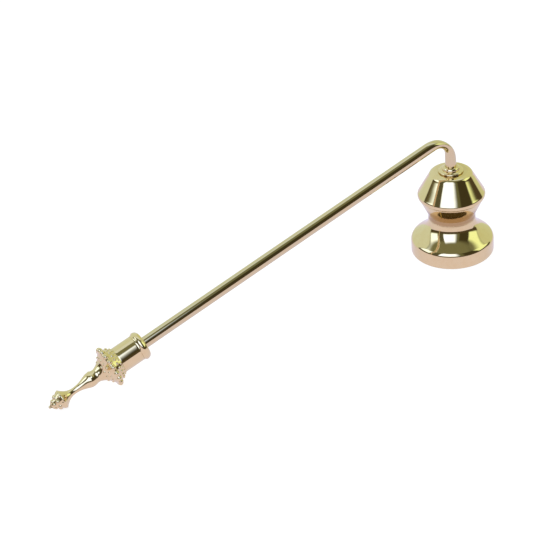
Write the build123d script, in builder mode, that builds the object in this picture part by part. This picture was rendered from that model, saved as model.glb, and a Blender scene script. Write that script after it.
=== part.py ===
from build123d import *
from math import acos, atan2, cos, hypot, pi, radians, sin, tan
import os

# Candle snuffer, millimetres. A brass bell turns on the bent end of a rod, and the rod's
# other end carries an ornamental cast handle.
# Frame: origin at the centre of the bell's open mouth, +Z up the bell's axis, and the rod
# runs towards -X. The bell stands flat on z = 0, and the acorn on the handle's end rests there too.

# ---------------------------------------------------------------- driving dimensions

ROD_R = 2.3                 # plain rod
SPIGOT_R = 1.75             # the rod's turned-down ends, smooth in place of a thread
BEND_R = 7.0                # centreline radius of the bend over the bell
BEND_BACK_R = 11.6          # the bend is drawn thinner on its outside, to this longer radius
CORNER_Z = 54.8             # where the rod's two straight centrelines would cross
ROD_LENGTH = 168.0          # from that corner to the middle of the crown
CROWN_R = 7.75              # the crown's rim, which carries the beads

SLIP = 0.05                 # radial gap of an assembled pair in one body
RUNNING = 0.06              # radial gap of the swivel
END_PLAY = 0.04             # axial gap at each end of the swivel

# Bell: outside radii and heights above the mouth
WALL = 0.9
MOUTH_R = 17.45             # outside of the straight band at the mouth
MOUTH_BORE_R = 16.2         # inside of that band
MOUTH_ROUND = 0.8           # round on the outside of the rim
BAND_TOP = 5.2              # where the band turns into the shoulder
BORE_TOP = 5.0              # length of the straight bore inside the band
SHOULDER_R = 2.7            # round of the shoulder
SHOULDER_TURN = 52          # degrees that the shoulder turns through
FLARE_PULL = 4.42           # how far the shoulder's tangent holds before the flare to the neck
FLARE_TOP = 11.7            # where the flare's curve turns into the neck's straight tangent
NECK_R = 9.88
NECK_Z = 16.3
CONE_FOOT_R = 10.12         # where the neck's curve ends and the inverted cone begins
CONE_FOOT_Z = 18.5
LIP_R = 14.1
LIP_Z = 26.9
LIP_UNDER_R = 13.5          # where the inverted cone meets the lip
LIP_UNDER_Z = 25.6
TOP_R = 8.4                 # flat on top of the shoulder cone
TOP_Z = 37.5
TUBE_R = 2.9                # outside of the swivel tube
WEB_TOP = 15.2              # top of the web that closes the cup

# Fittings above and under the bell, on the rod's spigot
COLLAR_R = 5.25
COLLAR_T = 1.1
BOSS_R = 3.6
BOSS_T = 1.3
CLAMP_WASHER_R = 4.6
CLAMP_WASHER_T = 0.8
SPRING_WASHER_T = 0.9
SPRING_WASHER_GAP = 0.6     # the split in the spring washer
CLAMP_NUT_AF = 7.0          # across flats
CLAMP_NUT_T = 2.8
SPIGOT_TAIL = 0.8           # the spigot stands this far out of each nut

# Handle: distances along its axis from the middle of the crown, positive towards the bell
FERRULE_R = 5.3
FERRULE_BORE_R = 4.4
FERRULE_FOOT = 4.0          # where the ferrule meets the crown
CAP_FOOT = 12.4             # where the ferrule meets its flanged cap
CAP_TOP = 15.7
FLANGE_R = 5.9
ROD_SHOULDER = 11.2         # where the rod is turned down, inside the ferrule
LOCK_NUT_AF = 6.0
LOCK_NUT_T = 2.4
LOCK_WASHER_R = 3.9
LOCK_WASHER_T = 0.6
CROWN_BACK = -5.4           # where the crown meets the finial
CROWN_BACK_R = 2.95
CROWN_BORE_END = -1.8       # bottom of the crown's tapped hole
BEAD_COUNT = 18
BEAD_R = 1.05
BEAD_RING_R = 7.45
BEAD_SEAT = 0.0             # distance of the bead ring from the middle of the crown
FINIAL_SPIGOT_R = 1.2
FINIAL_SPIGOT_L = 2.4
ACORN_R = 3.9               # the widest place of the acorn on the finial's end
ACORN_SEAT = -21.9
FINIAL_TIP = -27.8

# ---------------------------------------------------------------- derived places

# The rod leans from the bell's axis by the angle that lets the acorn reach z = 0:
# CORNER_Z = (ROD_LENGTH - ACORN_SEAT) * cos(lean) + ACORN_R * sin(lean)
acorn_distance = ROD_LENGTH - ACORN_SEAT
lean = acos(CORNER_Z / hypot(acorn_distance, ACORN_R)) + atan2(ACORN_R, acorn_distance)
towards_bell = Vector(sin(lean), 0, cos(lean))
corner = Vector(0, 0, CORNER_Z)
crown_centre = corner - towards_bell * ROD_LENGTH

# A profile's local x is the radius and its local y the height or the distance on the axis
bell_profile = Plane.XZ
bell_axis = Axis.Z
handle_profile = Plane(origin=crown_centre, x_dir=(cos(lean), 0, -sin(lean)), z_dir=(0, -1, 0))
handle_axis = Axis(crown_centre, towards_bell)

collar_z = TOP_Z + END_PLAY
boss_z = collar_z + COLLAR_T
rod_foot_z = boss_z + BOSS_T
washer_z = WEB_TOP - WALL - END_PLAY
spring_z = washer_z - CLAMP_WASHER_T
nut_z = spring_z - SPRING_WASHER_T
spigot_foot_z = nut_z - CLAMP_NUT_T - SPIGOT_TAIL

lock_nut_foot = ROD_SHOULDER - LOCK_NUT_T
lock_washer_foot = lock_nut_foot - LOCK_WASHER_T


def across_handle(distance):
    """The plane across the handle's axis at a distance from the crown, facing the bell."""
    return Plane(origin=crown_centre + towards_bell * distance, z_dir=towards_bell)


def section(inner, outer, low, high):
    """A rectangle in the open profile: radii inner to outer, heights low to high."""
    with Locations(((inner + outer) / 2, (low + high) / 2)):
        Rectangle(outer - inner, high - low)


os.makedirs("parts", exist_ok=True)

# ---------------------------------------------------------------- rod

# The plain rod rises out of the collar, bends over the bell and runs down to the handle.
half_bend = (pi - lean) / 2
back_corner = Vector(ROD_R, 0, CORNER_Z + ROD_R * tan(half_bend))
back_reach = BEND_BACK_R * tan(half_bend)
back_foot = back_corner - Vector(0, 0, back_reach)
back_end = back_corner - towards_bell * back_reach
with BuildPart() as rod:
    with BuildLine() as rod_path:
        shoulder = crown_centre + towards_bell * ROD_SHOULDER
        FilletPolyline((0, 0, rod_foot_z), tuple(corner), tuple(shoulder), radius=BEND_R)
    with BuildSketch(Plane.XY.offset(rod_foot_z)):
        Circle(ROD_R)
    sweep(path=rod_path.line)
    with BuildSketch(Plane.XY.offset(spigot_foot_z)):
        Circle(SPIGOT_R)
    extrude(amount=rod_foot_z - spigot_foot_z)
    with BuildSketch(across_handle(CROWN_BORE_END + SPIGOT_TAIL)):
        Circle(SPIGOT_R)
    extrude(amount=ROD_SHOULDER - CROWN_BORE_END - SPIGOT_TAIL)
    with BuildSketch(bell_profile):
        with BuildLine():
            Line((back_foot.X, back_foot.Z), (back_corner.X, back_corner.Z))
            Line((back_corner.X, back_corner.Z), (back_end.X, back_end.Z))
            RadiusArc((back_end.X, back_end.Z), (back_foot.X, back_foot.Z), BEND_BACK_R)
        make_face()
    extrude(amount=ROD_R, both=True, mode=Mode.SUBTRACT)
rod.part.label = "rod"
export_step(rod.part, "parts/rod.step")

# ---------------------------------------------------------------- collar and clamp

# Domed washer that covers the hole in the bell's top.
with BuildPart() as collar_washer:
    with BuildSketch(bell_profile):
        with BuildLine():
            Polyline((SPIGOT_R + SLIP, boss_z), (SPIGOT_R + SLIP, collar_z), (COLLAR_R - 0.3, collar_z))
            ThreePointArc((COLLAR_R - 0.3, collar_z), (COLLAR_R, collar_z + 0.35),
                          (COLLAR_R - 0.45, collar_z + 0.8))
            Line((COLLAR_R - 0.45, collar_z + 0.8), (BOSS_R, boss_z))
            Line((BOSS_R, boss_z), (SPIGOT_R + SLIP, boss_z))
        make_face()
    revolve(axis=bell_axis)
collar_washer.part.label = "collar_washer"
export_step(collar_washer.part, "parts/collar_washer.step")

# Ring between the rod's shoulder and the collar washer.
with BuildPart() as collar_boss:
    with BuildSketch(bell_profile):
        with BuildLine():
            Polyline((SPIGOT_R + SLIP, rod_foot_z), (SPIGOT_R + SLIP, boss_z), (BOSS_R, boss_z))
            ThreePointArc((BOSS_R, boss_z), (BOSS_R - 0.15, boss_z + 0.75), (ROD_R + 0.35, rod_foot_z))
            Line((ROD_R + 0.35, rod_foot_z), (SPIGOT_R + SLIP, rod_foot_z))
        make_face()
    revolve(axis=bell_axis)
collar_boss.part.label = "collar_boss"
export_step(collar_boss.part, "parts/collar_boss.step")

# Plain washer against the web inside the bell.
with BuildPart() as clamp_washer:
    with BuildSketch(bell_profile):
        section(SPIGOT_R + SLIP, CLAMP_WASHER_R, spring_z, washer_z)
    revolve(axis=bell_axis)
clamp_washer.part.label = "clamp_washer"
export_step(clamp_washer.part, "parts/clamp_washer.step")

# Split spring washer, flattened by the nut.
with BuildPart() as spring_washer:
    with BuildSketch(bell_profile):
        section(SPIGOT_R + SLIP, SPIGOT_R + 1.5, nut_z, spring_z)
    revolve(axis=bell_axis)
    with BuildSketch(Plane.XY.offset(nut_z)):
        with Locations((SPIGOT_R + 1.0, 0)):
            Rectangle(2.4, SPRING_WASHER_GAP)
    extrude(amount=SPRING_WASHER_T, mode=Mode.SUBTRACT)
spring_washer.part.label = "spring_washer"
export_step(spring_washer.part, "parts/spring_washer.step")

# Hexagon nut that holds the bell on the rod.
with BuildPart() as clamp_nut:
    with BuildSketch(Plane.XY.offset(nut_z - CLAMP_NUT_T)):
        RegularPolygon(CLAMP_NUT_AF / 2, 6, major_radius=False)
        Circle(SPIGOT_R + SLIP, mode=Mode.SUBTRACT)
    extrude(amount=CLAMP_NUT_T)
clamp_nut.part.label = "clamp_nut"
export_step(clamp_nut.part, "parts/clamp_nut.step")

# ---------------------------------------------------------------- bell

# The cup: a straight band at the mouth, a round shoulder, a flare that sweeps up into the
# neck, and a web across the neck. Its hollow is the part that goes over the flame.
turn = radians(SHOULDER_TURN)
shoulder_end = (MOUTH_R - SHOULDER_R * (1 - cos(turn)), BAND_TOP + SHOULDER_R * sin(turn))
flare_start = (shoulder_end[0] - FLARE_PULL * sin(turn), shoulder_end[1] + FLARE_PULL * cos(turn))
web_bottom = WEB_TOP - WALL
with BuildPart() as bell_cup:
    with BuildSketch(bell_profile):
        with BuildLine():
            RadiusArc((MOUTH_R - MOUTH_ROUND, 0), (MOUTH_R, MOUTH_ROUND), -MOUTH_ROUND)
            Line((MOUTH_R, MOUTH_ROUND), (MOUTH_R, BAND_TOP))
            RadiusArc((MOUTH_R, BAND_TOP), shoulder_end, -SHOULDER_R)
            Bezier(shoulder_end, flare_start, (NECK_R, FLARE_TOP), (NECK_R, NECK_Z))
            Line((NECK_R, NECK_Z), (NECK_R - WALL, NECK_Z))
            Line((NECK_R - WALL, NECK_Z), (NECK_R - WALL, WEB_TOP))
            Line((NECK_R - WALL, WEB_TOP), (TUBE_R + SLIP, WEB_TOP))
            Line((TUBE_R + SLIP, WEB_TOP), (TUBE_R + SLIP, web_bottom))
            Line((TUBE_R + SLIP, web_bottom), (8.3, web_bottom))
            Bezier((8.3, web_bottom), (9.3, 14.0), (9.35, 12.2), (11.1, 10.6))
            Bezier((11.1, 10.6), (12.35, 9.45), (13.9, 8.2), (15.3, 7.05))
            Bezier((15.3, 7.05), (15.9, 6.55), (MOUTH_BORE_R, 5.9), (MOUTH_BORE_R, BORE_TOP))
            Line((MOUTH_BORE_R, BORE_TOP), (MOUTH_BORE_R, 0))
            Line((MOUTH_BORE_R, 0), (MOUTH_R - MOUTH_ROUND, 0))
        make_face()
    revolve(axis=bell_axis)
bell_cup.part.label = "bell_cup"
export_step(bell_cup.part, "parts/bell_cup.step")

# Ring inside the neck that centres the upper shells on the cup.
with BuildPart() as joining_ring:
    with BuildSketch(bell_profile):
        section(NECK_R - 2 * WALL - SLIP, NECK_R - WALL - SLIP, WEB_TOP, NECK_Z + 1.6)
    revolve(axis=bell_axis)
joining_ring.part.label = "joining_ring"
export_step(joining_ring.part, "parts/joining_ring.step")

# The inverted cone that flares from the neck up to the lip.
with BuildPart() as neck_cone:
    with BuildSketch(bell_profile):
        with BuildLine():
            Bezier((NECK_R, NECK_Z), (NECK_R, 17.1), (9.93, 18.1), (CONE_FOOT_R, CONE_FOOT_Z))
            Line((CONE_FOOT_R, CONE_FOOT_Z), (LIP_UNDER_R, LIP_UNDER_Z))
            Line((LIP_UNDER_R, LIP_UNDER_Z), (LIP_UNDER_R - WALL, LIP_UNDER_Z))
            Line((LIP_UNDER_R - WALL, LIP_UNDER_Z), (CONE_FOOT_R - WALL, CONE_FOOT_Z))
            Bezier((CONE_FOOT_R - WALL, CONE_FOOT_Z), (9.03, 18.1), (NECK_R - WALL, 17.1),
                   (NECK_R - WALL, NECK_Z))
            Line((NECK_R - WALL, NECK_Z), (NECK_R, NECK_Z))
        make_face()
    revolve(axis=bell_axis)
neck_cone.part.label = "neck_cone"
export_step(neck_cone.part, "parts/neck_cone.step")

# The shoulder cone: a rolled lip, a straight cone and a flat top with the swivel's hole.
with BuildPart() as shoulder_cone:
    with BuildSketch(bell_profile):
        with BuildLine():
            Line((LIP_UNDER_R - WALL, LIP_UNDER_Z), (LIP_UNDER_R, LIP_UNDER_Z))
            ThreePointArc((LIP_UNDER_R, LIP_UNDER_Z), (LIP_R, LIP_Z), (LIP_R - 0.35, LIP_Z + 1.2))
            Line((LIP_R - 0.35, LIP_Z + 1.2), (TOP_R + 0.75, TOP_Z - 1.25))
            ThreePointArc((TOP_R + 0.75, TOP_Z - 1.25), (TOP_R + 0.1, TOP_Z - 0.4), (TOP_R - 0.9, TOP_Z))
            Line((TOP_R - 0.9, TOP_Z), (TUBE_R + SLIP, TOP_Z))
            Line((TUBE_R + SLIP, TOP_Z), (TUBE_R + SLIP, TOP_Z - WALL))
            Line((TUBE_R + SLIP, TOP_Z - WALL), (TOP_R - 0.9, TOP_Z - WALL))
            Line((TOP_R - 0.9, TOP_Z - WALL), (LIP_R - 0.5 - WALL, LIP_Z + 0.9))
            Line((LIP_R - 0.5 - WALL, LIP_Z + 0.9), (LIP_UNDER_R - WALL, LIP_UNDER_Z))
        make_face()
    revolve(axis=bell_axis)
shoulder_cone.part.label = "shoulder_cone"
export_step(shoulder_cone.part, "parts/shoulder_cone.step")

# Tube pressed through the bell, which turns on the rod's spigot.
with BuildPart() as swivel_tube:
    with BuildSketch(bell_profile):
        section(SPIGOT_R + RUNNING, TUBE_R, WEB_TOP - WALL, TOP_Z)
    revolve(axis=bell_axis)
swivel_tube.part.label = "swivel_tube"
export_step(swivel_tube.part, "parts/swivel_tube.step")

# ---------------------------------------------------------------- handle

# Flanged cap on the ferrule's end, where the rod goes in.
with BuildPart() as ferrule_cap:
    with BuildSketch(handle_profile):
        with BuildLine():
            Line((ROD_R + SLIP, CAP_TOP), (ROD_R + SLIP, CAP_FOOT - 1.0))
            Line((ROD_R + SLIP, CAP_FOOT - 1.0), (FERRULE_BORE_R - SLIP, CAP_FOOT - 1.0))
            Line((FERRULE_BORE_R - SLIP, CAP_FOOT - 1.0), (FERRULE_BORE_R - SLIP, CAP_FOOT))
            Line((FERRULE_BORE_R - SLIP, CAP_FOOT), (FERRULE_R, CAP_FOOT))
            Bezier((FERRULE_R, CAP_FOOT), (FERRULE_R, 13.2), (FLANGE_R, 13.1), (FLANGE_R, 14.0))
            ThreePointArc((FLANGE_R, 14.0), (FLANGE_R - 0.25, 14.9), (FLANGE_R - 1.0, CAP_TOP))
            Line((FLANGE_R - 1.0, CAP_TOP), (ROD_R + SLIP, CAP_TOP))
        make_face()
    revolve(axis=handle_axis)
ferrule_cap.part.label = "ferrule_cap"
export_step(ferrule_cap.part, "parts/ferrule_cap.step")

# The plain sleeve between the cap and the crown.
with BuildPart() as ferrule:
    with BuildSketch(handle_profile):
        section(FERRULE_BORE_R, FERRULE_R, FERRULE_FOOT, CAP_FOOT)
    revolve(axis=handle_axis)
ferrule.part.label = "ferrule"
export_step(ferrule.part, "parts/ferrule.step")

# Bush that centres the rod in the ferrule, against the crown.
with BuildPart() as ferrule_bush:
    with BuildSketch(handle_profile):
        section(SPIGOT_R + SLIP, FERRULE_BORE_R - SLIP, FERRULE_FOOT, lock_washer_foot)
    revolve(axis=handle_axis)
ferrule_bush.part.label = "ferrule_bush"
export_step(ferrule_bush.part, "parts/ferrule_bush.step")

# Washer and nut that lock the rod in the bush.
with BuildPart() as lock_washer:
    with BuildSketch(handle_profile):
        section(SPIGOT_R + SLIP, LOCK_WASHER_R, lock_washer_foot, lock_nut_foot)
    revolve(axis=handle_axis)
lock_washer.part.label = "lock_washer"
export_step(lock_washer.part, "parts/lock_washer.step")

with BuildPart() as lock_nut:
    with BuildSketch(across_handle(lock_nut_foot)):
        RegularPolygon(LOCK_NUT_AF / 2, 6, major_radius=False)
        Circle(SPIGOT_R + SLIP, mode=Mode.SUBTRACT)
    extrude(amount=LOCK_NUT_T)
lock_nut.part.label = "lock_nut"
export_step(lock_nut.part, "parts/lock_nut.step")

# The crown: a casting shaped like two cones base to base, with a ring of beads round its
# rim, a tapped hole for the rod and a smaller one for the finial.
with BuildPart() as crown:
    with BuildSketch(handle_profile):
        with BuildLine():
            Line((0, CROWN_BORE_END), (SPIGOT_R + SLIP, CROWN_BORE_END))
            Line((SPIGOT_R + SLIP, CROWN_BORE_END), (SPIGOT_R + SLIP, FERRULE_FOOT))
            Line((SPIGOT_R + SLIP, FERRULE_FOOT), (FERRULE_R + 0.05, FERRULE_FOOT))
            Line((FERRULE_R + 0.05, FERRULE_FOOT), (CROWN_R - 0.55, 0.85))
            ThreePointArc((CROWN_R - 0.55, 0.85), (CROWN_R, 0), (CROWN_R - 0.45, -0.9))
            Bezier((CROWN_R - 0.45, -0.9), (5.6, -1.95), (3.7, -3.3), (CROWN_BACK_R, CROWN_BACK))
            Line((CROWN_BACK_R, CROWN_BACK), (FINIAL_SPIGOT_R + SLIP, CROWN_BACK))
            Line((FINIAL_SPIGOT_R + SLIP, CROWN_BACK),
                 (FINIAL_SPIGOT_R + SLIP, CROWN_BACK + FINIAL_SPIGOT_L + 0.2))
            Line((FINIAL_SPIGOT_R + SLIP, CROWN_BACK + FINIAL_SPIGOT_L + 0.2),
                 (0, CROWN_BACK + FINIAL_SPIGOT_L + 0.2))
            Line((0, CROWN_BACK + FINIAL_SPIGOT_L + 0.2), (0, CROWN_BORE_END))
        make_face()
    revolve(axis=handle_axis)
    with Locations(across_handle(BEAD_SEAT)):
        with PolarLocations(BEAD_RING_R, BEAD_COUNT):
            Sphere(BEAD_R)
crown.part.label = "crown"
export_step(crown.part, "parts/crown.step")

# The finial: a baluster with a bulb and a slim waist, and a pointed acorn on its end.
with BuildPart() as finial:
    with BuildSketch(handle_profile):
        with BuildLine():
            Line((0, CROWN_BACK + FINIAL_SPIGOT_L), (FINIAL_SPIGOT_R, CROWN_BACK + FINIAL_SPIGOT_L))
            Line((FINIAL_SPIGOT_R, CROWN_BACK + FINIAL_SPIGOT_L), (FINIAL_SPIGOT_R, CROWN_BACK))
            Line((FINIAL_SPIGOT_R, CROWN_BACK), (CROWN_BACK_R, CROWN_BACK))
            Bezier((CROWN_BACK_R, CROWN_BACK), (2.3, -6.4), (3.0, -7.6), (3.0, -8.8))
            Bezier((3.0, -8.8), (3.0, -10.6), (1.55, -12.0), (1.3, -15.4))
            Bezier((1.3, -15.4), (1.1, -17.9), (1.7, -19.4), (ACORN_R - 0.05, ACORN_SEAT + 0.35))
            ThreePointArc((ACORN_R - 0.05, ACORN_SEAT + 0.35), (ACORN_R, ACORN_SEAT),
                          (ACORN_R - 0.15, ACORN_SEAT - 0.25))
            Line((ACORN_R - 0.15, ACORN_SEAT - 0.25), (1.5, -26.6))
            Bezier((1.5, -26.6), (1.1, -27.3), (0.6, FINIAL_TIP), (0, FINIAL_TIP))
            Line((0, FINIAL_TIP), (0, CROWN_BACK + FINIAL_SPIGOT_L))
        make_face()
    revolve(axis=handle_axis)
finial.part.label = "finial"
export_step(finial.part, "parts/finial.step")
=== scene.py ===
"""A candle snuffer in polished brass: a bell that turns on the bent end of a rod, and a cast handle.

Lengths in this script are millimetres until MM turns them into metres. The bell's axis is the
row frame's Z. The handle's own axis runs from the crown towards the bell, and the places of
the handle's pieces are distances along it from the middle of the crown.
"""
from math import acos, atan2, ceil, cos, degrees, hypot, pi, radians, sin, tan

import bpy
from mathutils import Matrix, Vector


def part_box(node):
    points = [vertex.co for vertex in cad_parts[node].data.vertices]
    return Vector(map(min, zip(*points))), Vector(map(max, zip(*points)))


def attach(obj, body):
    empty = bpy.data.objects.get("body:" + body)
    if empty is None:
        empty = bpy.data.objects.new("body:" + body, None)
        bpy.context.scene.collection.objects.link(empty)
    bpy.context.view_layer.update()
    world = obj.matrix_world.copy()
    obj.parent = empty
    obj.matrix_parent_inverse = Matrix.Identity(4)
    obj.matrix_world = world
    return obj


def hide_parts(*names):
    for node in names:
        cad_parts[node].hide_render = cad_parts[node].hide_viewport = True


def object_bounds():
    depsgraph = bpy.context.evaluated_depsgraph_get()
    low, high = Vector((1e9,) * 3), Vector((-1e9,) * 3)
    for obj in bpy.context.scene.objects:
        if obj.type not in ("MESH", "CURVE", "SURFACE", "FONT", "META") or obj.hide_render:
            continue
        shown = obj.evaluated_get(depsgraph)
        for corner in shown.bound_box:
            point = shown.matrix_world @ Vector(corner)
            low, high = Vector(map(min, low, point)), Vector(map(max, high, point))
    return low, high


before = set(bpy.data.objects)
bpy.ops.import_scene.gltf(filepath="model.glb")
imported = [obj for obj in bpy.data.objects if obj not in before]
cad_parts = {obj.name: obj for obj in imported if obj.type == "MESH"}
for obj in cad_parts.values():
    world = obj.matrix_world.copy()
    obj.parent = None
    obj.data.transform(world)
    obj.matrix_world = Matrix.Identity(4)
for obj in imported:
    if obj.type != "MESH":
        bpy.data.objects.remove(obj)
cad_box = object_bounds()

MM = 0.001
MICROMETRE = 0.001 * MM
FULL_TURN = 2 * pi

# Points round each turned piece
BELL_SEGMENTS = 256
SLEEVE_SEGMENTS = 192
COLLAR_SEGMENTS = 160
NUT_SEGMENTS = 144
CROWN_SEGMENTS = 560
FINIAL_SEGMENTS = 288
ROD_SEGMENTS = 72

# ---------------------------------------------------------------- sizes, the same as the CAD's

ROD_R = 2.3
SPIGOT_R = 1.75         # the rod's turned-down ends, outside their threads
BEND_R = 7.0            # centreline of the bend
BEND_BACK_R = 11.6      # outside of the bend, where the rod is drawn thinner
CORNER_Z = 54.8
ROD_LENGTH = 168.0
CROWN_R = 7.75
SLIP = 0.05

# Bell: outside radii and heights above the mouth
WALL = 0.9
MOUTH_R = 17.45
MOUTH_BORE_R = 16.2
MOUTH_ROUND = 0.8
BAND_TOP = 5.2
BORE_TOP = 5.0
SHOULDER_R = 2.7
SHOULDER_TURN = 52
FLARE_PULL = 4.42
FLARE_TOP = 11.7
NECK_R = 9.88
NECK_Z = 16.3
CONE_FOOT_R = 10.12
CONE_FOOT_Z = 18.5
LIP_R = 14.1
LIP_Z = 26.9
LIP_UNDER_R = 13.5
LIP_UNDER_Z = 25.6
TOP_R = 8.4
TOP_Z = 37.5
TUBE_R = 2.9
WEB_TOP = 15.2

# Fittings over and under the bell
COLLAR_R = 5.25
BOSS_R = 3.6
CLAMP_NUT_AF = 7.0
SPIGOT_TAIL = 0.8

# Handle: radii, and distances from the middle of the crown
FERRULE_R = 5.3
FERRULE_BORE_R = 4.4
FERRULE_FOOT = 4.0
CAP_FOOT = 12.4
CAP_TOP = 15.7
FLANGE_R = 5.9
ROD_SHOULDER = 11.2
LOCK_NUT_AF = 6.0
LOCK_NUT_T = 2.4
CROWN_BACK = -5.4
CROWN_BACK_R = 2.95
CROWN_BORE_END = -1.8
BEAD_COUNT = 18
BEAD_R = 1.05
BEAD_RING_R = 7.45
BEAD_SEAT = 0.0
FINIAL_SPIGOT_R = 1.2
FINIAL_SPIGOT_L = 2.4
ACORN_R = 3.9
ACORN_SEAT = -21.9
FINIAL_TIP = -27.8

# ---------------------------------------------------------------- sizes that only this script has

THREAD_PITCH = 0.6
THREAD_DEPTH = 0.28
THREAD_PAST_NUT = 1.0   # length of thread above the clamp nut
TAIL_THREAD = 4.5       # length of thread on the end inside the crown
LEAVES = 5              # twisted leaves round the finial's bulb
TIP_BALL_R = 0.62       # ball on the acorn's point

# ---------------------------------------------------------------- places, from the frame

acorn_distance = ROD_LENGTH - ACORN_SEAT
lean = acos(CORNER_Z / hypot(acorn_distance, ACORN_R)) + atan2(ACORN_R, acorn_distance)
towards_bell = Vector((sin(lean), 0, cos(lean)))
rod_corner = Vector((0, 0, CORNER_Z))
crown_centre = rod_corner - towards_bell * ROD_LENGTH

bell_place = Matrix.Identity(4)
handle_place = Matrix.Translation(crown_centre) @ Matrix.Rotation(lean, 4, "Y")


def node_span(node):
    """Lowest and highest height of a CAD node on the bell's axis, in millimetres."""
    low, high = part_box(node)
    return low.z / MM, high.z / MM


collar_low, collar_high = node_span("collar_washer")
boss_low, rod_foot_z = node_span("collar_boss")
nut_low, nut_high = node_span("clamp_nut")
spigot_foot_z = nut_low - SPIGOT_TAIL

# ---------------------------------------------------------------- outlines
# An outline is a list of (radius, height) points in millimetres.


def arc(centre, radius, start, end, steps=16):
    """Points of a circular arc, from angle start to angle end in degrees."""
    angles = [radians(start + (end - start) * i / steps) for i in range(steps + 1)]
    return [(centre[0] + radius * cos(a), centre[1] + radius * sin(a)) for a in angles]


def curve(p0, p1, p2, p3, steps=32):
    """Points of a cubic Bezier curve."""
    points = []
    for i in range(steps + 1):
        t = i / steps
        weights = ((1 - t) ** 3, 3 * t * (1 - t) ** 2, 3 * t * t * (1 - t), t ** 3)
        points.append(tuple(sum(w * p[k] for w, p in zip(weights, (p0, p1, p2, p3))) for k in (0, 1)))
    return points


def line(start, end, spacing=0.6):
    """Points of a straight stretch, about spacing apart."""
    steps = max(1, ceil(hypot(end[0] - start[0], end[1] - start[1]) / spacing))
    return [tuple(start[k] + (end[k] - start[k]) * i / steps for k in (0, 1)) for i in range(steps + 1)]


def through(start, middle, end, steps=10):
    """Points of the circular arc through three points."""
    (ax, ay), (bx, by), (cx, cy) = start, middle, end
    d = 2 * (ax * (by - cy) + bx * (cy - ay) + cx * (ay - by))
    sa, sb, sc = ax * ax + ay * ay, bx * bx + by * by, cx * cx + cy * cy
    ox = (sa * (by - cy) + sb * (cy - ay) + sc * (ay - by)) / d
    oy = (sa * (cx - bx) + sb * (ax - cx) + sc * (bx - ax)) / d
    first, mid, last = (degrees(atan2(y - oy, x - ox)) for x, y in (start, middle, end))
    sweep = (last - first) % 360
    if (mid - first) % 360 > sweep:
        sweep -= 360
    return arc((ox, oy), hypot(ax - ox, ay - oy), first, first + sweep, steps)


def joined(*runs):
    """One closed outline from its runs, with no point twice in a row."""
    points = []
    for run in runs:
        for p in run:
            if not points or hypot(p[0] - points[-1][0], p[1] - points[-1][1]) > 1e-5:
                points.append(p)
    if hypot(points[0][0] - points[-1][0], points[0][1] - points[-1][1]) < 1e-5:
        points.pop()
    return points


def eased(points, radius=0.1, least_turn=25, steps=4):
    """The closed outline with each corner sharper than least_turn degrees rounded over."""
    result = []
    count = len(points)
    for i, p in enumerate(points):
        before, after = Vector(points[i - 1]), Vector(points[(i + 1) % count])
        here = Vector(p)
        into, out = here - before, after - here
        if here.x < 1e-6 or degrees(into.angle(out)) < least_turn:
            result.append(p)
            continue
        start = here - into.normalized() * min(radius, 0.45 * into.length)
        end = here + out.normalized() * min(radius, 0.45 * out.length)
        for k in range(steps + 1):
            t = k / steps
            q = start * (1 - t) ** 2 + here * 2 * t * (1 - t) + end * t * t
            result.append((q.x, q.y))
    return result


# ---------------------------------------------------------------- meshes


def finished(name, points, faces, sharp_angle=35):
    """A smooth-shaded object from points in millimetres."""
    mesh = bpy.data.meshes.new(name)
    mesh.from_pydata([Vector(p) * MM for p in points], [], faces)
    mesh.validate()
    mesh.update()
    mesh.shade_smooth()
    mesh.set_sharp_from_angle(angle=radians(sharp_angle))
    piece = bpy.data.objects.new(name, mesh)
    bpy.context.scene.collection.objects.link(piece)
    return piece


def outward(outline):
    """The unit normal at each point of a closed outline, away from the material."""
    count = len(outline)
    area = sum(a[0] * b[1] - b[0] * a[1] for a, b in zip(outline, outline[1:] + outline[:1]))
    side = 1 if area > 0 else -1
    normals = []
    for i in range(count):
        before, after = outline[i - 1], outline[(i + 1) % count]
        step = (Vector(after) - Vector(before)).normalized()
        normals.append((side * step.y, -side * step.x))
    return normals


def lathe(name, outline, place=bell_place, segments=BELL_SEGMENTS, relief=None, sharp_angle=35):
    """Turns a closed outline about the local Z axis. relief(angle, radius, height, normal)
    gives the (radius, height) that a point moves to. Points on the axis become one pole each."""
    points, rings = [], []
    normals = outward(outline)
    for (radius, height), normal in zip(outline, normals):
        if radius < 1e-6:
            rings.append([len(points)])
            points.append(place @ Vector((0, 0, height)))
            continue
        ring = []
        for s in range(segments):
            angle = FULL_TURN * s / segments
            r, z = relief(angle, radius, height, normal) if relief else (radius, height)
            ring.append(len(points))
            points.append(place @ Vector((r * cos(angle), r * sin(angle), z)))
        rings.append(ring)
    faces = []
    for i, lower in enumerate(rings):
        upper = rings[(i + 1) % len(rings)]
        if len(lower) == 1 and len(upper) == 1:
            continue
        for s in range(segments):
            t = (s + 1) % segments
            if len(lower) == 1:
                faces.append((lower[0], upper[t], upper[s]))
            elif len(upper) == 1:
                faces.append((lower[s], lower[t], upper[0]))
            else:
                faces.append((lower[s], lower[t], upper[t], upper[s]))
    return finished(name, points, faces, sharp_angle)


def take(piece, body, slot, material, *nodes):
    """Puts a finished piece on its body and in its material, in place of CAD nodes. slot is not used."""
    piece.data.materials.append(material)
    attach(piece, body)
    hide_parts(*nodes)
    return piece


# ---------------------------------------------------------------- materials


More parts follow.
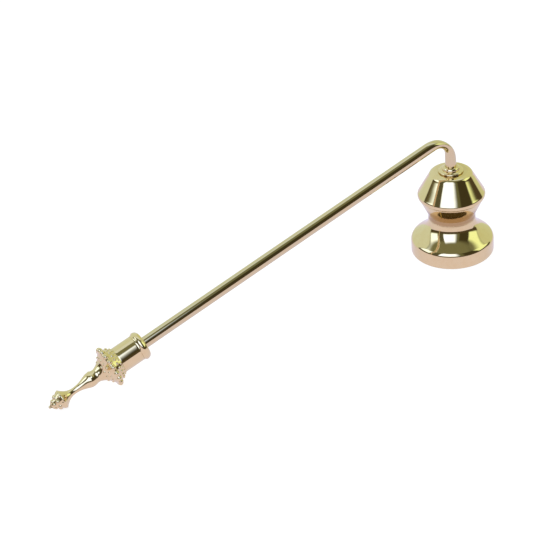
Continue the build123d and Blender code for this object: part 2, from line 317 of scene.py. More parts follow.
class Nodes:
    """Short calls for building the node tree of a material or a world."""

    def __init__(self, owner):
        owner.use_nodes = True
        self.tree = owner.node_tree
        self.tree.nodes.clear()

    def add(self, kind, inputs=None, **settings):
        node = self.tree.nodes.new(kind)
        for name, value in settings.items():
            setattr(node, name, value)
        for name, value in (inputs or {}).items():
            self.feed(node.inputs[name], value)
        return node

    def feed(self, socket, value):
        if isinstance(value, bpy.types.NodeSocket):
            self.tree.links.new(value, socket)
        else:
            socket.default_value = value

    def math(self, operation, *values):
        node = self.add("ShaderNodeMath", operation=operation)
        for socket, value in zip(node.inputs, values):
            self.feed(socket, value)
        return node.outputs[0]

    def ramp(self, value, low, high, to_low=0.0, to_high=1.0):
        """Smooth step of value from low to high."""
        node = self.add("ShaderNodeMapRange", interpolation_type="SMOOTHSTEP")
        for socket, number in zip(node.inputs, (value, low, high, to_low, to_high)):
            self.feed(socket, number)
        return node.outputs["Result"]

    def mix(self, factor, first, second, blend="MIX"):
        node = self.add("ShaderNodeMix", data_type="RGBA", blend_type=blend)
        for name, value in (("Factor_Float", factor), ("A_Color", first), ("B_Color", second)):
            socket = next(s for s in node.inputs if s.identifier == name)
            self.feed(socket, value)
        return next(s for s in node.outputs if s.identifier == "Result_Color")

    def round_room(self, vector):
        """Degrees round the room from the camera's side, and the vector's height."""
        turned = self.add("ShaderNodeVectorRotate", {"Vector": vector, "Angle": radians(-CAMERA_SIDE)},
                          rotation_type="Z_AXIS")
        parts = self.add("ShaderNodeSeparateXYZ", {"Vector": turned.outputs[0]}).outputs
        around = self.math("MULTIPLY", self.math("ARCTAN2", parts["Y"], parts["X"]), degrees(1))
        return around, parts["Z"]

    def blend(self, factor, first, second):
        """A mix of the surfaces of two shader nodes."""
        node = self.add("ShaderNodeMixShader", {"Fac": factor})
        self.feed(node.inputs[1], first.outputs[0])
        self.feed(node.inputs[2], second.outputs[0])
        return node

    def surface(self, shader, kind="ShaderNodeOutputMaterial"):
        self.feed(self.add(kind).inputs["Surface"], shader.outputs[0])

    def noise(self, vector, scale, detail=2.0, roughness=0.5):
        node = self.add("ShaderNodeTexNoise", {"Vector": vector, "Scale": scale, "Detail": detail,
                                               "Roughness": roughness})
        return node.outputs["Fac"]


def rgb(red, green, blue):
    return (red, green, blue, 1.0)


BRASS = rgb(0.83, 0.68, 0.38)
BRASS_WARM = rgb(0.79, 0.60, 0.30)
BRASS_ROD = rgb(0.74, 0.63, 0.38)
# The darkest brass and steel colours are painted shade for hollows.
BRASS_SHADE = rgb(0.30, 0.19, 0.06)
# painted dark reflection for the bell's neck
BRASS_NECK_SHADE = rgb(0.42, 0.26, 0.11)
STEEL = rgb(0.62, 0.61, 0.58)
STEEL_DULL = rgb(0.47, 0.46, 0.44)
STEEL_SHADE = rgb(0.12, 0.11, 0.10)

# Painted shade in hollows reaches this far:
SHADE_REACH = 1.1      # a hollow darkens where its walls are nearer to each other than this


def local_millimetres(n, place):
    """The shaded point in millimetres in the frame of place, whose Z is the piece's axis."""
    point = n.add("ShaderNodeTexCoord").outputs["Object"]
    if place is not bell_place:
        shift = n.add("ShaderNodeVectorMath", operation="SUBTRACT")
        n.feed(shift.inputs[0], point)
        n.feed(shift.inputs[1], tuple(place.translation * MM))
        turn = n.add("ShaderNodeVectorRotate", {"Vector": shift.outputs[0], "Angle": -lean},
                     rotation_type="Y_AXIS")
        point = turn.outputs[0]
    scaled = n.add("ShaderNodeVectorMath", {"Vector": point, "Scale": 1 / MM}, operation="SCALE")
    return scaled.outputs["Vector"]


def turned_vector(n, point, per_turn, per_mm):
    """Coordinates in which noise is drawn out round the axis, as marks from a lathe are."""
    parts = n.add("ShaderNodeSeparateXYZ", {"Vector": point}).outputs
    across = n.math("SQRT", n.math("ADD", n.math("POWER", parts["X"], 2.0), n.math("POWER", parts["Y"], 2.0)))
    safe = n.math("MAXIMUM", across, 0.05)
    side = n.math("MULTIPLY", n.math("DIVIDE", parts["X"], safe), per_turn)
    front = n.math("MULTIPLY", n.math("DIVIDE", parts["Y"], safe), per_turn)
    along = n.math("MULTIPLY", n.math("ADD", parts["Z"], across), per_mm)
    return n.add("ShaderNodeCombineXYZ", {"X": side, "Y": front, "Z": along}).outputs[0]


def metal(name, place, bright, warm, shade_colour, roughness, marks, waviness, hollow_shade=0.0, grain=0.0, neck_shade=None):
    """A metal finish. marks and waviness are heights in micrometres of the lathe marks and of
    the unevenness left by polishing. hollow_shade is how far painted shade darkens hollows,
    grain the height in micrometres of a casting's skin. neck_shade is two heights and how dark
    the painted dark reflection between them is, round the bell's neck."""
    material = bpy.data.materials.new(name)
    n = Nodes(material)
    point = local_millimetres(n, place)
    lathed = turned_vector(n, point, per_turn=3.0, per_mm=9.0)
    hairlines = n.noise(lathed, scale=1.0, detail=3.0, roughness=0.6)
    waves = n.noise(point, scale=0.13, detail=1.0)
    clouds = n.noise(point, scale=0.35, detail=4.0, roughness=0.55)
    handling = n.noise(point, scale=0.9, detail=5.0, roughness=0.6)

    colour = n.mix(n.ramp(clouds, 0.35, 0.75, 0.0, 0.45), bright, warm)
    # painted shade: the colour darkens where ambient occlusion finds walls close by
    if hollow_shade:
        hollow = n.add("ShaderNodeAmbientOcclusion", {"Distance": SHADE_REACH * MM}, samples=8).outputs["AO"]
        colour = n.mix(n.ramp(hollow, 0.25, 0.85, hollow_shade, 0.0), colour, shade_colour)
    # painted dark reflection: a band between the two heights darkens, for the neck's dark reflections of the
    # bell itself
    if neck_shade:
        low, high, share = neck_shade
        level = n.add("ShaderNodeSeparateXYZ", {"Vector": point}).outputs["Z"]
        neck_darkening = n.math("MULTIPLY", n.ramp(level, low, low + 1.6, 0.0, share),
                         n.ramp(level, high - 3.0, high, 1.0, 0.0))
        colour = n.mix(neck_darkening, colour, BRASS_NECK_SHADE)
    spread = n.math("ADD", n.ramp(handling, 0.35, 0.8, 0.0, 0.6), n.ramp(hairlines, 0.4, 0.8, 0.0, 0.5))
    gloss = n.math("ADD", n.math("MULTIPLY", spread, roughness), roughness)

    height = n.math("ADD", n.math("MULTIPLY", hairlines, marks), n.math("MULTIPLY", waves, waviness))
    if grain:
        skin = n.noise(point, scale=2.2, detail=3.0, roughness=0.6)
        height = n.math("ADD", height, n.math("MULTIPLY", skin, grain))
    bump = n.add("ShaderNodeBump", {"Height": height, "Strength": 1.0, "Distance": MICROMETRE})
    shader = n.add("ShaderNodeBsdfPrincipled", {"Base Color": colour, "Metallic": 1.0, "Roughness": gloss,
                                                "Normal": bump.outputs["Normal"]})
    n.surface(shader)
    return material


# Finishes. Each darkens its hollows with painted shade, and the bell's also paints a dark reflection round
# its neck.
bell_brass = metal("polished_brass_bell", bell_place, BRASS, BRASS_WARM, BRASS_SHADE,
                   roughness=0.05, marks=0.45, waviness=60, hollow_shade=0.35, neck_shade=(15.4, 23.6, 0.8))
inner_brass = metal("turned_brass_inside", bell_place, BRASS, BRASS_WARM, BRASS_SHADE,
                    roughness=0.16, marks=3.0, waviness=30, hollow_shade=0.5)
handle_brass = metal("polished_brass_handle", handle_place, BRASS, BRASS_WARM, BRASS_SHADE,
                     roughness=0.04, marks=0.35, waviness=35, hollow_shade=0.35)
rod_brass = metal("polished_brass_rod", handle_place, BRASS_ROD, BRASS_WARM, BRASS_SHADE,
                  roughness=0.05, marks=0.2, waviness=20, hollow_shade=0.25)
cast_brass = metal("cast_brass", handle_place, BRASS, BRASS_WARM, BRASS_SHADE,
                   roughness=0.07, marks=0.1, waviness=60, hollow_shade=0.85, grain=12)
plain_brass = metal("plain_brass", bell_place, BRASS_WARM, BRASS, BRASS_SHADE,
                    roughness=0.2, marks=2.0, waviness=20, hollow_shade=0.5)
plain_brass_handle = metal("plain_brass_handle", handle_place, BRASS_WARM, BRASS, BRASS_SHADE,
                           roughness=0.2, marks=2.0, waviness=20, hollow_shade=0.5)
steel = metal("brushed_steel", bell_place, STEEL, STEEL_DULL, STEEL_SHADE,
              roughness=0.17, marks=1.5, waviness=15, hollow_shade=0.6)
steel_handle = metal("brushed_steel_handle", handle_place, STEEL, STEEL_DULL, STEEL_SHADE,
                     roughness=0.17, marks=1.5, waviness=15, hollow_shade=0.6)

# ---------------------------------------------------------------- bell

turn = radians(SHOULDER_TURN)
shoulder_end = (MOUTH_R - SHOULDER_R * (1 - cos(turn)), BAND_TOP + SHOULDER_R * sin(turn))
flare_start = (shoulder_end[0] - FLARE_PULL * sin(turn), shoulder_end[1] + FLARE_PULL * cos(turn))
web_bottom = WEB_TOP - WALL
TUBE_HOLE_R = TUBE_R + SLIP
hollow_top = (8.3, web_bottom)
hollow_knee = (11.1, 10.6)
hollow_flare = (15.3, 7.05)

cup_outline = joined(
    arc((MOUTH_R - MOUTH_ROUND, MOUTH_ROUND), MOUTH_ROUND, -90, 0),
    line((MOUTH_R, MOUTH_ROUND), (MOUTH_R, BAND_TOP)),
    arc((MOUTH_R - SHOULDER_R, BAND_TOP), SHOULDER_R, 0, SHOULDER_TURN, 28),
    curve(shoulder_end, flare_start, (NECK_R, FLARE_TOP), (NECK_R, NECK_Z), 56),
    line((NECK_R, NECK_Z), (NECK_R - WALL, NECK_Z)),
    line((NECK_R - WALL, NECK_Z), (NECK_R - WALL, WEB_TOP)),
    line((NECK_R - WALL, WEB_TOP), (TUBE_HOLE_R, WEB_TOP)),
    line((TUBE_HOLE_R, WEB_TOP), (TUBE_HOLE_R, web_bottom)),
    line((TUBE_HOLE_R, web_bottom), hollow_top),
    curve(hollow_top, (9.3, 14.0), (9.35, 12.2), hollow_knee, 24),
    curve(hollow_knee, (12.35, 9.45), (13.9, 8.2), hollow_flare, 20),
    curve(hollow_flare, (15.9, 6.55), (MOUTH_BORE_R, 5.9), (MOUTH_BORE_R, BORE_TOP), 12),
    line((MOUTH_BORE_R, BORE_TOP), (MOUTH_BORE_R, 0)),
    line((MOUTH_BORE_R, 0), (MOUTH_R - MOUTH_ROUND, 0)),
)


def line_with(shell, material):
    """Gives the inside of the cup, where it faces in or down, a second material."""
    shell.data.materials.append(material)
    for face in shell.data.polygons:
        radius = hypot(face.center.x, face.center.y) / MM
        facing_in = face.normal.x * face.center.x + face.normal.y * face.center.y < 0
        if radius < MOUTH_R - WALL and (facing_in or face.normal.z < -0.5):
            face.material_index = 1


bell_cup = lathe("bell_cup_shell", eased(cup_outline, 0.12))
take(bell_cup, "bell", "polished_brass", bell_brass, "bell_cup")
line_with(bell_cup, inner_brass)

neck_outline = joined(
    curve((NECK_R, NECK_Z), (NECK_R, 17.1), (9.93, 18.1), (CONE_FOOT_R, CONE_FOOT_Z), 32),
    line((CONE_FOOT_R, CONE_FOOT_Z), (LIP_UNDER_R, LIP_UNDER_Z)),
    line((LIP_UNDER_R, LIP_UNDER_Z), (LIP_UNDER_R - WALL, LIP_UNDER_Z)),
    line((LIP_UNDER_R - WALL, LIP_UNDER_Z), (CONE_FOOT_R - WALL, CONE_FOOT_Z)),
    curve((CONE_FOOT_R - WALL, CONE_FOOT_Z), (9.03, 18.1), (NECK_R - WALL, 17.1),
          (NECK_R - WALL, NECK_Z), 16),
    line((NECK_R - WALL, NECK_Z), (NECK_R, NECK_Z)),
)
take(lathe("neck_cone_shell", eased(neck_outline, 0.05)), "bell", "polished_brass", bell_brass, "neck_cone")

lip_end = (LIP_R - 0.35, LIP_Z + 1.2)
lip_inside = (LIP_R - 0.5 - WALL, LIP_Z + 0.9)
top_round = (TOP_R + 0.75, TOP_Z - 1.25)
top_edge_r = TOP_R - 0.9
shoulder_outline = joined(
    line((LIP_UNDER_R - WALL, LIP_UNDER_Z), (LIP_UNDER_R, LIP_UNDER_Z)),
    through((LIP_UNDER_R, LIP_UNDER_Z), (LIP_R, LIP_Z), lip_end, 28),
    line(lip_end, top_round),
    through(top_round, (TOP_R + 0.1, TOP_Z - 0.4), (top_edge_r, TOP_Z), 28),
    line((top_edge_r, TOP_Z), (TUBE_HOLE_R, TOP_Z)),
    line((TUBE_HOLE_R, TOP_Z), (TUBE_HOLE_R, TOP_Z - WALL)),
    line((TUBE_HOLE_R, TOP_Z - WALL), (top_edge_r, TOP_Z - WALL)),
    line((top_edge_r, TOP_Z - WALL), lip_inside),
    line(lip_inside, (LIP_UNDER_R - WALL, LIP_UNDER_Z)),
)
take(lathe("shoulder_cone_shell", eased(shoulder_outline, 0.05)), "bell", "polished_brass", bell_brass,
     "shoulder_cone")

# ---------------------------------------------------------------- collar

bore = SPIGOT_R + SLIP
washer_foot_r = COLLAR_R - 0.3
washer_crest = (COLLAR_R - 0.45, collar_low + 0.8)
washer_outline = joined(
    line((bore, collar_high), (bore, collar_low)),
    line((bore, collar_low), (washer_foot_r, collar_low)),
    through((washer_foot_r, collar_low), (COLLAR_R, collar_low + 0.35), washer_crest, 16),
    curve(washer_crest, (4.55, collar_low + 1.02), (4.2, collar_high - 0.02), (BOSS_R, collar_high), 12),
    line((BOSS_R, collar_high), (bore, collar_high)),
)
take(lathe("collar_washer_turned", eased(washer_outline, 0.05), segments=COLLAR_SEGMENTS),
     "handle", "polished_brass", bell_brass, "collar_washer")

boss_top_r = ROD_R + 0.35
boss_outline = joined(
    line((bore, rod_foot_z), (bore, boss_low)),
    line((bore, boss_low), (BOSS_R, boss_low)),
    through((BOSS_R, boss_low), (BOSS_R - 0.15, boss_low + 0.75), (boss_top_r, rod_foot_z), 16),
    line((boss_top_r, rod_foot_z), (bore, rod_foot_z)),
)
take(lathe("collar_boss_turned", eased(boss_outline, 0.06), segments=COLLAR_SEGMENTS),
     "handle", "polished_brass", bell_brass, "collar_boss")


def hexagon_nut(name, place, across_flats, low, high):
    """A chamfered hexagon nut from low to high on the axis of place."""
    corner_r = across_flats / 2 / cos(pi / 6)
    face_r = 0.94 * across_flats / 2
    chamfer = (corner_r - face_r) * tan(pi / 6)
    outline = joined(
        line((bore, low), (face_r, low)),
        line((face_r, low), (corner_r, low + chamfer), 0.07),
        line((corner_r, low + chamfer), (corner_r, high - chamfer), 0.4),
        line((corner_r, high - chamfer), (face_r, high), 0.07),
        line((face_r, high), (bore, high)),
        line((bore, high), (bore, low)),
    )

    def flats(angle, radius, height, normal):
        from_flat = angle % (pi / 3) - pi / 6
        return min(radius, across_flats / 2 / cos(from_flat)), height

    return lathe(name, outline, place, segments=NUT_SEGMENTS, relief=flats, sharp_angle=24)


clamp_nut = hexagon_nut("clamp_nut_chamfered", bell_place, CLAMP_NUT_AF, nut_low, nut_high)
take(clamp_nut, "handle", "steel", steel, "clamp_nut")
lock_nut = hexagon_nut("lock_nut_chamfered", handle_place, LOCK_NUT_AF,
                       ROD_SHOULDER - LOCK_NUT_T, ROD_SHOULDER)
take(lock_nut, "handle", "steel", steel_handle, "lock_nut")

# ---------------------------------------------------------------- rod


def back_distance(centre, outwards):
    """Distance from the rod's centreline to its outside, which the bend has drawn thin."""
    hub_r = ROD_R - BEND_BACK_R
    arm = centre - Vector((hub_r, 0, CORNER_Z + hub_r * tan((pi - lean) / 2)))
    if not 0 < atan2(arm.z, arm.x) < pi - lean:
        return ROD_R
    along = arm.dot(outwards)
    return (BEND_BACK_R ** 2 - arm.length_squared + along ** 2) ** 0.5 - along


def rod_rings():
    """Rings along the rod from under the bell to inside the crown, as (centre, direction,
    radius, share of thread)."""
    rings = []
    up = Vector((0, 0, 1))
    chamfer = 0.35

    def thread_run(start, direction, length, threaded):
        """A turned-down end whose thread fades out after its threaded length."""
        steps = ceil(length / 0.05)
        for i in range(steps + 1):
            s = length * i / steps
            share = max(0.0, min(1.0, (threaded - s) / THREAD_PITCH))
            radius = SPIGOT_R - chamfer * max(0.0, 1 - s / chamfer)
            yield start + direction * s, direction, radius, share * min(1.0, s / chamfer)

    foot = Vector((0, 0, spigot_foot_z))
    rings += thread_run(foot, up, rod_foot_z - spigot_foot_z, nut_high - spigot_foot_z + THREAD_PAST_NUT)
    start_z = rod_foot_z
    bend_turn = pi - lean
    bend_z = CORNER_Z - BEND_R * tan(bend_turn / 2)
    ease = 0.12
    rings.append((Vector((0, 0, start_z)), up, ROD_R - ease, 0))
    rings.append((Vector((0, 0, start_z + 0.3 * ease)), up, ROD_R - 0.3 * ease, 0))
    rings.append((Vector((0, 0, start_z + ease)), up, ROD_R, 0))
    foot_steps = 20
    for i in range(1, foot_steps):
        z = start_z + ease + (bend_z - start_z - ease) * i / foot_steps
        rings.append((Vector((0, 0, z)), up, ROD_R, 0))
    bend_steps = 64
    for i in range(bend_steps + 1):
        a = bend_turn * i / bend_steps
        centre = Vector((BEND_R * (cos(a) - 1), 0, bend_z + BEND_R * sin(a)))
        rings.append((centre, Vector((-sin(a), 0, cos(a))), ROD_R, 0))
    away = -towards_bell
    bend_end = rings[-1][0]
    shoulder = crown_centre + towards_bell * ROD_SHOULDER
    run = (shoulder - bend_end).length - ease
    near_bend, near_steps, body_steps = 4.0, 12, 58
    stops = [near_bend * i / near_steps for i in range(1, near_steps + 1)]
    stops += [near_bend + (run - near_bend) * i / body_steps for i in range(1, body_steps + 1)]
    rings += [(bend_end + away * stop, away, ROD_R, 0) for stop in stops]
    rings.append((shoulder - away * 0.3 * ease, away, ROD_R - 0.3 * ease, 0))
    rings.append((shoulder, away, ROD_R - ease, 0))
    tail = crown_centre + towards_bell * (CROWN_BORE_END + SPIGOT_TAIL)
    ends = list(thread_run(tail, towards_bell, (shoulder - tail).length, TAIL_THREAD))
    rings += [(centre, away, radius, share) for centre, _, radius, share in reversed(ends)]
    return rings


def rod_mesh(segments=ROD_SEGMENTS):
    """The rod as rings swept along its path, with rolled threads on its two ends."""
    rings = rod_rings()
    points, faces = [], []
    travelled = 0.0
    for i, (centre, direction, radius, share) in enumerate(rings):
        if i:
            travelled += (centre - rings[i - 1][0]).length
        across = Vector((0, 1, 0))
        inwards = direction.cross(across)
        back = back_distance(centre, -inwards) / ROD_R
        for s in range(segments):
            angle = FULL_TURN * s / segments
            phase = FULL_TURN * travelled / THREAD_PITCH - angle
            r = radius - share * THREAD_DEPTH * (0.5 + 0.5 * cos(phase))
            reach = r * sin(angle) * (back if sin(angle) < 0 else 1)
            points.append(centre + across * (r * cos(angle)) + inwards * reach)
    for i in range(len(rings) - 1):
        for s in range(segments):
            t = (s + 1) % segments
            low, high = i * segments, (i + 1) * segments
            faces.append((low + s, low + t, high + t, high + s))
    last = (len(rings) - 1) * segments
    faces.append(tuple(reversed(range(segments))))
    faces.append(tuple(range(last, last + segments)))
    return finished("rod_swept", points, faces, 40)


take(rod_mesh(), "handle", "polished_brass", rod_brass, "rod")

# ---------------------------------------------------------------- ferrule and cap

ferrule_outline = joined(
    line((FERRULE_BORE_R, FERRULE_FOOT), (FERRULE_R, FERRULE_FOOT)),
    line((FERRULE_R, FERRULE_FOOT), (FERRULE_R, CAP_FOOT)),
    line((FERRULE_R, CAP_FOOT), (FERRULE_BORE_R, CAP_FOOT)),
    line((FERRULE_BORE_R, CAP_FOOT), (FERRULE_BORE_R, FERRULE_FOOT)),
)
take(lathe("ferrule_sleeve", eased(ferrule_outline, 0.12), handle_place, SLEEVE_SEGMENTS),
     "handle", "polished_brass", handle_brass, "ferrule")

rod_hole = ROD_R + SLIP
plug_r = FERRULE_BORE_R - SLIP
plug_end = CAP_FOOT - 1
flange_side = (FLANGE_R, 14.0)
flange_top_r = FLANGE_R - 1.0
cap_outline = joined(
    line((rod_hole, CAP_TOP), (rod_hole, plug_end)),
    line((rod_hole, plug_end), (plug_r, plug_end)),
    line((plug_r, plug_end), (plug_r, CAP_FOOT)),
    line((plug_r, CAP_FOOT), (FERRULE_R, CAP_FOOT)),
    curve((FERRULE_R, CAP_FOOT), (FERRULE_R, 13.2), (FLANGE_R, 13.1), flange_side, 20),
    through(flange_side, (FLANGE_R - 0.25, 14.9), (flange_top_r, CAP_TOP), 20),
    line((flange_top_r, CAP_TOP), (rod_hole, CAP_TOP)),
)
take(lathe("ferrule_cap_turned", eased(cap_outline, 0.08), handle_place, SLEEVE_SEGMENTS),
     "handle", "polished_brass", handle_brass, "ferrule_cap")

# ---------------------------------------------------------------- crown and finial


def bead_height(angle, radius, height, normal, rows):
    """How far the beads of these rows stand above a point of a turned surface. A row is
    (count, ring radius, height on the axis, bead radius, first bead in steps)."""
    tallest = 0.0
    for count, ring_r, ring_z, bead_r, first in rows:
        if abs(height - ring_z) > 2 * bead_r:
            continue
        step = FULL_TURN / count
        off = (angle - first * step + step / 2) % step - step / 2
        to_bead = Vector((ring_r * cos(off) - radius, ring_r * sin(off), ring_z - height))
        along = to_bead.x * normal[0] + to_bead.z * normal[1]
        left = bead_r ** 2 - (to_bead.length_squared - along ** 2)
        if left > 0:
            tallest = max(tallest, along + left ** 0.5)
    return tallest


def beaded(rows, carve=None):
    """A relief with rows of beads, over a surface that carve(angle, radius, height) lowers."""
    def relief(angle, radius, height, normal):
        depth = carve(angle, radius, height) if carve else 0.0
        lift = max(bead_height(angle, radius, height, normal, rows), -depth)
        return radius + normal[0] * lift, height + normal[1] * lift
    return relief


def fade(value, low, high):
    """Smooth step from 0 at low to 1 at high."""
    t = max(0.0, min(1.0, (value - low) / (high - low)))
    return t * t * (3 - 2 * t)


# Bead rows: count, ring radius, height on the axis, bead radius, first bead in steps
crown_rows = [
    (BEAD_COUNT, BEAD_RING_R, BEAD_SEAT, BEAD_R, 0.0),
    (22, 6.25, 2.2, 0.6, 0.5),
    (22, 5.55, 3.4, 0.4, 0.0),
    (18, 5.5, -1.95, 0.45, 0.5),
    (12, 4.0, -3.1, 0.6, 0.0),
]


def crown_carving(angle, radius, height):
    """Shallow petals down the crown's back, one for each pair of beads."""
    petal = abs(sin(angle * BEAD_COUNT / 4))
    return 0.16 * (1 - petal) * fade(-height, 1.0, 1.8) * fade(height, CROWN_BACK, CROWN_BACK + 0.8)


finial_hole = FINIAL_SPIGOT_R + SLIP
finial_hole_end = CROWN_BACK + FINIAL_SPIGOT_L + 0.2
crown_face_r = FERRULE_R + 0.05
rim_front = (CROWN_R - 0.55, 0.85)
rim_back = (CROWN_R - 0.45, -0.9)
crown_outline = joined(
    line((0, CROWN_BORE_END), (bore, CROWN_BORE_END), 0.9),
    line((bore, CROWN_BORE_END), (bore, FERRULE_FOOT), 1.0),
    line((bore, FERRULE_FOOT), (crown_face_r, FERRULE_FOOT), 0.5),
    line((crown_face_r, FERRULE_FOOT), rim_front, 0.07),
    through(rim_front, (CROWN_R, 0), rim_back, 24),
    curve(rim_back, (5.6, -1.95), (3.7, -3.3), (CROWN_BACK_R, CROWN_BACK), 72),
    line((CROWN_BACK_R, CROWN_BACK), (finial_hole, CROWN_BACK), 0.5),
    line((finial_hole, CROWN_BACK), (finial_hole, finial_hole_end), 0.8),
    line((finial_hole, finial_hole_end), (0, finial_hole_end), 0.8),
)
crown = lathe("crown_casting", crown_outline, handle_place, CROWN_SEGMENTS,
              beaded(crown_rows, crown_carving), sharp_angle=50)
take(crown, "handle", "cast_brass", cast_brass, "crown")

finial_rows = [
    (7, 2.68, ACORN_SEAT - 0.2, 1.1, 0.0),
    (7, 2.2, -23.7, 1.05, 0.5),
    (6, 1.35, -25.3, 0.85, 0.0),
    (5, 1.95, -8.1, 1.15, 0.0),
    (5, 1.75, -10.0, 1.0, 0.5),
    (4, 1.25, -12.0, 0.75, 0.0),
]


def finial_carving(angle, radius, height):
    """Grooves between the bulb's twisted leaves and the acorn's cup leaves, and the acorn's
    body lowered round its scales."""
    twist = angle + 0.2 * (height + 9.5)
    bulb_zone = fade(height, -15.2, -12.2) * fade(-height, 5.5, 6.8)
    bulb = 0.85 * (1 - abs(sin(twist * LEAVES / 2))) ** 1.3 * bulb_zone
    midrib = 0.22 * (1 - abs(cos(twist * LEAVES / 2))) ** 5 * bulb_zone
    cup_zone = fade(height, -21.4, -20.4) * fade(-height, 16.0, 17.8)
    cup = 0.5 * (1 - abs(sin(angle * 4))) ** 1.5 * cup_zone
    scales = 0.5 * fade(-height, -ACORN_SEAT - 0.5, -ACORN_SEAT + 0.3)
    return bulb + midrib + cup + scales * fade(radius, 0.5, 1.2)


ball_centre = FINIAL_TIP + TIP_BALL_R
finial_spigot_end = CROWN_BACK + FINIAL_SPIGOT_L
bulb_side = (3.0, -8.8)
waist = (1.3, -15.4)
acorn_rim = (ACORN_R - 0.05, ACORN_SEAT + 0.35)
acorn_body = (ACORN_R - 0.15, ACORN_SEAT - 0.25)
tip_neck = (1.3, -26.35)
finial_outline = joined(
    line((0, finial_spigot_end), (FINIAL_SPIGOT_R, finial_spigot_end)),
    line((FINIAL_SPIGOT_R, finial_spigot_end), (FINIAL_SPIGOT_R, CROWN_BACK), 0.8),
    line((FINIAL_SPIGOT_R, CROWN_BACK), (CROWN_BACK_R, CROWN_BACK), 0.4),
    curve((CROWN_BACK_R, CROWN_BACK), (2.3, -6.4), (3.0, -7.6), bulb_side, 48),
    curve(bulb_side, (3.0, -10.6), (1.55, -12.0), waist, 72),
    curve(waist, (1.1, -17.9), (1.7, -19.4), acorn_rim, 80),
    through(acorn_rim, (ACORN_R, ACORN_SEAT), acorn_body, 6),
    line(acorn_body, tip_neck, 0.06),
    curve(tip_neck, (0.95, -26.75), (0.35, -26.6), (0.45, ball_centre + 0.43), 8),
    arc((0, ball_centre), TIP_BALL_R, 43, -86, 14),
    [(0, FINIAL_TIP)],
)
finial = lathe("finial_casting", finial_outline, handle_place, FINIAL_SEGMENTS,
               beaded(finial_rows, finial_carving), sharp_angle=60)
take(finial, "handle", "cast_brass", cast_brass, "finial")

# ---------------------------------------------------------------- pieces that stay as the CAD made them

kept_finishes = {
    "swivel_tube": plain_brass,
    "joining_ring": plain_brass,
    "ferrule_bush": plain_brass_handle,
    "clamp_washer": steel,
    "spring_washer": steel,
    "lock_washer": steel_handle,
}
for node, material in kept_finishes.items():
    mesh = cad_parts[node].data
    mesh.materials.clear()
    mesh.materials.append(material)

# ---------------------------------------------------------------- camera

CAMERA_AIM = Vector((-85.46, 2.27, 19.11))
CAMERA_AZIMUTH = 28.08
CAMERA_ELEVATION = 32.5
CAMERA_ROLL = -5.58
CAMERA_DISTANCE = 600
LENS = 98.19
SENSOR = 36


def place_camera():
    """Looks down on the snuffer from its front left, a little rolled."""
    azimuth, elevation, roll = (radians(a) for a in (CAMERA_AZIMUTH, CAMERA_ELEVATION, CAMERA_ROLL))
    ahead = Vector((cos(elevation) * sin(azimuth), cos(elevation) * cos(azimuth), -sin(elevation)))
    level = Vector((cos(azimuth), -sin(azimuth), 0))
    right = level * cos(roll) + level.cross(ahead) * sin(roll)
    up = right.cross(ahead)
    data = bpy.data.cameras.new("camera")
    data.lens = LENS
    data.sensor_width = SENSOR
    data.clip_start = 0.01
    camera = bpy.data.objects.new("camera", data)
    bpy.context.scene.collection.objects.link(camera)
    turn = Matrix((right, up, -ahead)).transposed().to_4x4()
    camera.matrix_world = Matrix.Translation((CAMERA_AIM - ahead * CAMERA_DISTANCE) * MM) @ turn
    bpy.context.scene.camera = camera


place_camera()

# ---------------------------------------------------------------- room: soft windows round a table

# Directions are degrees round the room from the side that the camera is on, and degrees
# above the horizon. The polished metal shows the room, so it is what lights and colours it.
CAMERA_SIDE = -126.1
CEILING = rgb(0.205, 0.215, 0.13)
CEILING_FAR = rgb(0.3, 0.32, 0.2)
TABLE = rgb(0.84, 0.765, 0.98)
TABLE_BACK = rgb(0.80, 0.76, 1.0)

# (low and high round the room, its softness, low and high elevation, softness at each,
#  colour, strength)
room_panels = [
    (-181, -101, 4, -12, 62, 2, 14, rgb(0.735, 0.83, 0.78), 1.0),
    (116, 181, 6, -12, 62, 2, 14, rgb(0.68, 0.75, 0.52), 1.0),
    (-181, -101, 4, 57, 82, 10, 6, rgb(0.80, 0.92, 1.05), 1.0),
    (110, 181, 6, 57, 82, 10, 6, rgb(0.80, 0.92, 1.05), 1.0),
    (18, 80, 6, 0, 58, 4, 14, rgb(0.058, 0.05, 0.024), 1.0),
    (14, 32, 8, 12, 60, 6, 14, rgb(0.15, 0.16, 0.09), 1.0),
    (-58, -40, 4, 0, 56, 4, 10, rgb(0.11, 0.11, 0.07), 1.0),
    (-101, 120, 6, -2, 13, 2, 8, rgb(0.085, 0.065, 0.036), 1.0),
    (-98, -66, 8, 18, 50, 8, 12, rgb(0.9, 1.08, 1.4), 1.6),
    (75, 114, 8, 15, 50, 8, 12, rgb(1.0, 1.2, 0.75), 1.12),
]


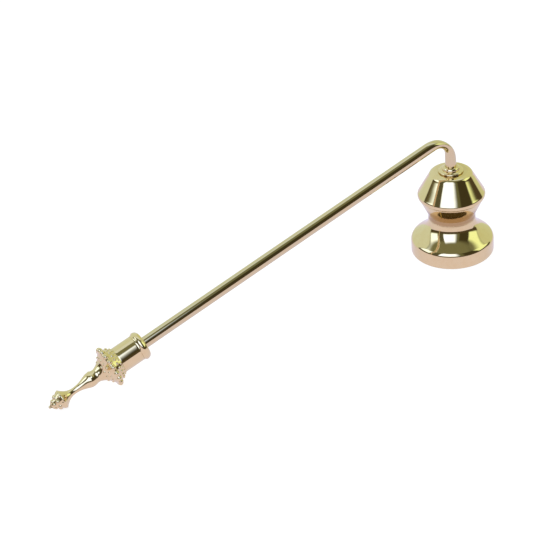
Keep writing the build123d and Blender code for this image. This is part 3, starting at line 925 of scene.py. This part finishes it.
def build_room():
    """A world whose colour depends on the direction. The camera itself sees plain white."""
    world = bpy.data.worlds.new("room")
    bpy.context.scene.world = world
    n = Nodes(world)
    around, rise = n.round_room(n.add("ShaderNodeTexCoord").outputs["Generated"])
    above = n.math("MULTIPLY", n.math("ARCSINE", rise), degrees(1))

    colour = n.mix(n.ramp(n.math("ABSOLUTE", around), 90.0, 150.0), CEILING, CEILING_FAR)
    for low, high, soft, bottom, top, soft_bottom, soft_top, tone, strength in room_panels:
        inside = n.math("MULTIPLY", n.ramp(around, low - soft / 2, low + soft / 2),
                        n.ramp(around, high - soft / 2, high + soft / 2, 1.0, 0.0))
        between = n.math("MULTIPLY", n.ramp(above, bottom - soft_bottom / 2, bottom + soft_bottom / 2),
                         n.ramp(above, top - soft_top / 2, top + soft_top / 2, 1.0, 0.0))
        lit = rgb(*(c * strength for c in tone[:3]))
        colour = n.mix(n.math("MULTIPLY", inside, between), colour, lit)
    aside = n.math("ABSOLUTE", around)
    horizon = n.ramp(aside, 96.0, 118.0, 0.0, -10.0)
    table = n.mix(n.ramp(aside, 50.0, 130.0), TABLE, TABLE_BACK)
    colour = n.mix(n.ramp(n.math("SUBTRACT", above, horizon), -1.0, 0.5), table, colour)
    seen = n.add("ShaderNodeLightPath").outputs["Is Camera Ray"]
    background = n.add("ShaderNodeBackground", {"Color": n.mix(seen, colour, rgb(1, 1, 1)), "Strength": 1.0})
    n.surface(background, "ShaderNodeOutputWorld")


build_room()

# The main window stands at its real distance, so its reflection drifts along the handle.
WINDOW_R = 650
WINDOW_SIDES = (-46, 30)
WINDOW_HEIGHTS = (140, 1560)
# Where the light comes up at the first edge and dies away at the last one
LIGHT_SIDES = ((-41.0, -36.0), (6.0, 24.0))
LIGHT_HEIGHTS = ((165.0, 240.0), (950.0, 1500.0))


def build_window():
    """A tall white window behind the camera, curved round the bell, with soft edges."""
    columns, rows = 38, 12
    points, faces = [], []
    for j in range(rows + 1):
        z = WINDOW_HEIGHTS[0] + (WINDOW_HEIGHTS[1] - WINDOW_HEIGHTS[0]) * j / rows
        for i in range(columns + 1):
            side = WINDOW_SIDES[0] + (WINDOW_SIDES[1] - WINDOW_SIDES[0]) * i / columns
            angle = radians(CAMERA_SIDE + side)
            points.append((WINDOW_R * cos(angle), WINDOW_R * sin(angle), z))
    for j in range(rows):
        for i in range(columns):
            k = j * (columns + 1) + i
            faces.append((k, k + 1, k + columns + 2, k + columns + 1))
    window = finished("window", points, faces)
    material = bpy.data.materials.new("window_light")
    n = Nodes(material)
    around, rise = n.round_room(n.add("ShaderNodeTexCoord").outputs["Object"])
    height = n.math("MULTIPLY", rise, 1 / MM)
    share = 1.0
    for reading, (rising, falling) in ((around, LIGHT_SIDES), (height, LIGHT_HEIGHTS)):
        share = n.math("MULTIPLY", share, n.ramp(reading, *rising))
        share = n.math("MULTIPLY", share, n.ramp(reading, *falling, 1.0, 0.0))
    light = n.add("ShaderNodeEmission", {"Color": rgb(1.05, 1.28, 2.0), "Strength": 1.4})
    n.surface(n.blend(share, n.add("ShaderNodeBsdfTransparent"), light))
    window.data.materials.append(material)
    window.visible_camera = False


build_window()

FLOOR_HALF = 2000
FLOOR_DROP = 0.02


def build_floor():
    """The pale table: white to the camera with a faint shadow. The room's own lower half is
    what the metal reflects of it."""
    low = cad_box[0].z / MM - FLOOR_DROP
    corners = [(x * FLOOR_HALF, y * FLOOR_HALF, low) for x, y in ((-1, -1), (1, -1), (1, 1), (-1, 1))]
    floor = finished("floor", corners, [(0, 1, 2, 3)])
    material = bpy.data.materials.new("pale_table")
    n = Nodes(material)
    glow = n.add("ShaderNodeEmission", {"Color": rgb(1, 1, 1), "Strength": 0.86})
    matt = n.add("ShaderNodeBsdfDiffuse", {"Color": rgb(0.36, 0.35, 0.32)})
    pale = n.add("ShaderNodeAddShader")
    n.feed(pale.inputs[0], glow.outputs[0])
    n.feed(pale.inputs[1], matt.outputs[0])
    seen = n.add("ShaderNodeLightPath").outputs["Is Camera Ray"]
    n.surface(n.blend(seen, n.add("ShaderNodeBsdfTransparent"), pale))
    floor.data.materials.append(material)


build_floor()

bpy.context.scene.view_settings.view_transform = "Standard"
bpy.context.scene.view_settings.look = "None"
